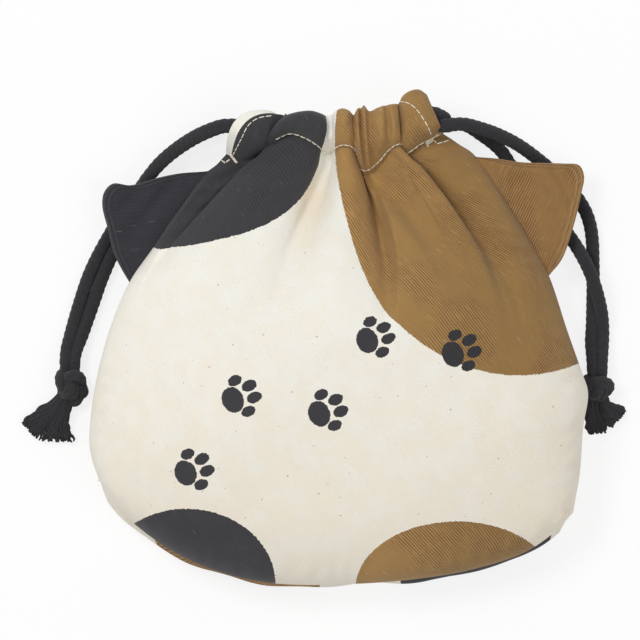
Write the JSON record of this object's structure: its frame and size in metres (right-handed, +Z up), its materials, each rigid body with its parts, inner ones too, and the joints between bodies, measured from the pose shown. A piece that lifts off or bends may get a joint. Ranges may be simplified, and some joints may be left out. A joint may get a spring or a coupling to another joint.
{
  "type": "drawstring pouch",
  "caption": "Cotton twill drawstring pouch with ear tabs in its side seams, a gathered mouth and knotted cords that draw it shut from both sides.",
  "frame": {"origin": "on the table, under the middle of the pouch's box without its free cords, knots and frayed ends", "axes": "+Z up out of the printed face as the pouch lies on its back, +Y towards the mouth, +X to the right as the face is seen"},
  "size_m": [0.2491, 0.1932, 0.0481],
  "materials": {
    "natural_twill": "printed cotton twill",
    "brown_twill": "printed cotton twill",
    "black_twill": "printed cotton twill",
    "black_cord": "soft twisted cotton",
    "cream_thread": "spun thread"
  },
  "bodies": {
    "pouch": {"front_panel": "natural_twill", "back_panel": "natural_twill", "front_casing": "brown_twill", "back_casing": "natural_twill", "left_side_overlock": "cream_thread", "bottom_overlock": "cream_thread", "right_side_overlock": "cream_thread", "left_front_hem_stitch": "cream_thread", "left_back_hem_stitch": "cream_thread", "left_bar_tack": "cream_thread", "right_front_hem_stitch": "cream_thread", "right_back_hem_stitch": "cream_thread", "right_bar_tack": "cream_thread", "front_casing_stitch": "cream_thread", "back_casing_stitch": "cream_thread", "left_cord_turn": "black_cord", "right_cord_turn": "black_cord"},
    "left_cord": {"left_cord_front": "black_cord", "left_cord_back": "black_cord", "left_cord_knot": "black_cord", "left_cord_tail_outer": "black_cord", "left_cord_tail_inner": "black_cord", "left_cord_front_run": "black_cord", "left_cord_back_run": "black_cord"},
    "right_cord": {"right_cord_front": "black_cord", "right_cord_back": "black_cord", "right_cord_knot": "black_cord", "right_cord_tail_outer": "black_cord", "right_cord_tail_inner": "black_cord", "right_cord_front_run": "black_cord", "right_cord_back_run": "black_cord"},
    "left_ear": {"left_ear_front": "black_twill", "left_ear_back": "black_twill"},
    "right_ear": {"right_ear_front": "brown_twill", "right_ear_back": "brown_twill"}
  },
  "joints": [
    {"name": "left_cord_pull", "type": "slide", "parent": "pouch", "child": "left_cord", "axis": [-0.9979, -0.0645, 0], "range_m": [0, 0.045]},
    {"name": "right_cord_pull", "type": "slide", "parent": "pouch", "child": "right_cord", "axis": [0.9979, 0.0645, 0], "range_m": [0, 0.045]},
    {"name": "left_ear_fold", "type": "hinge", "parent": "pouch", "child": "left_ear", "pos_m": [-0.06976, 0.04867, 0.01613], "axis": [0.5757, 0.8177, 0], "range_deg": [0, 100]},
    {"name": "right_ear_fold", "type": "hinge", "parent": "pouch", "child": "right_ear", "pos_m": [0.07209, 0.05195, 0.01604], "axis": [0.5539, -0.8326, 0], "range_deg": [0, 100]}
  ]
}
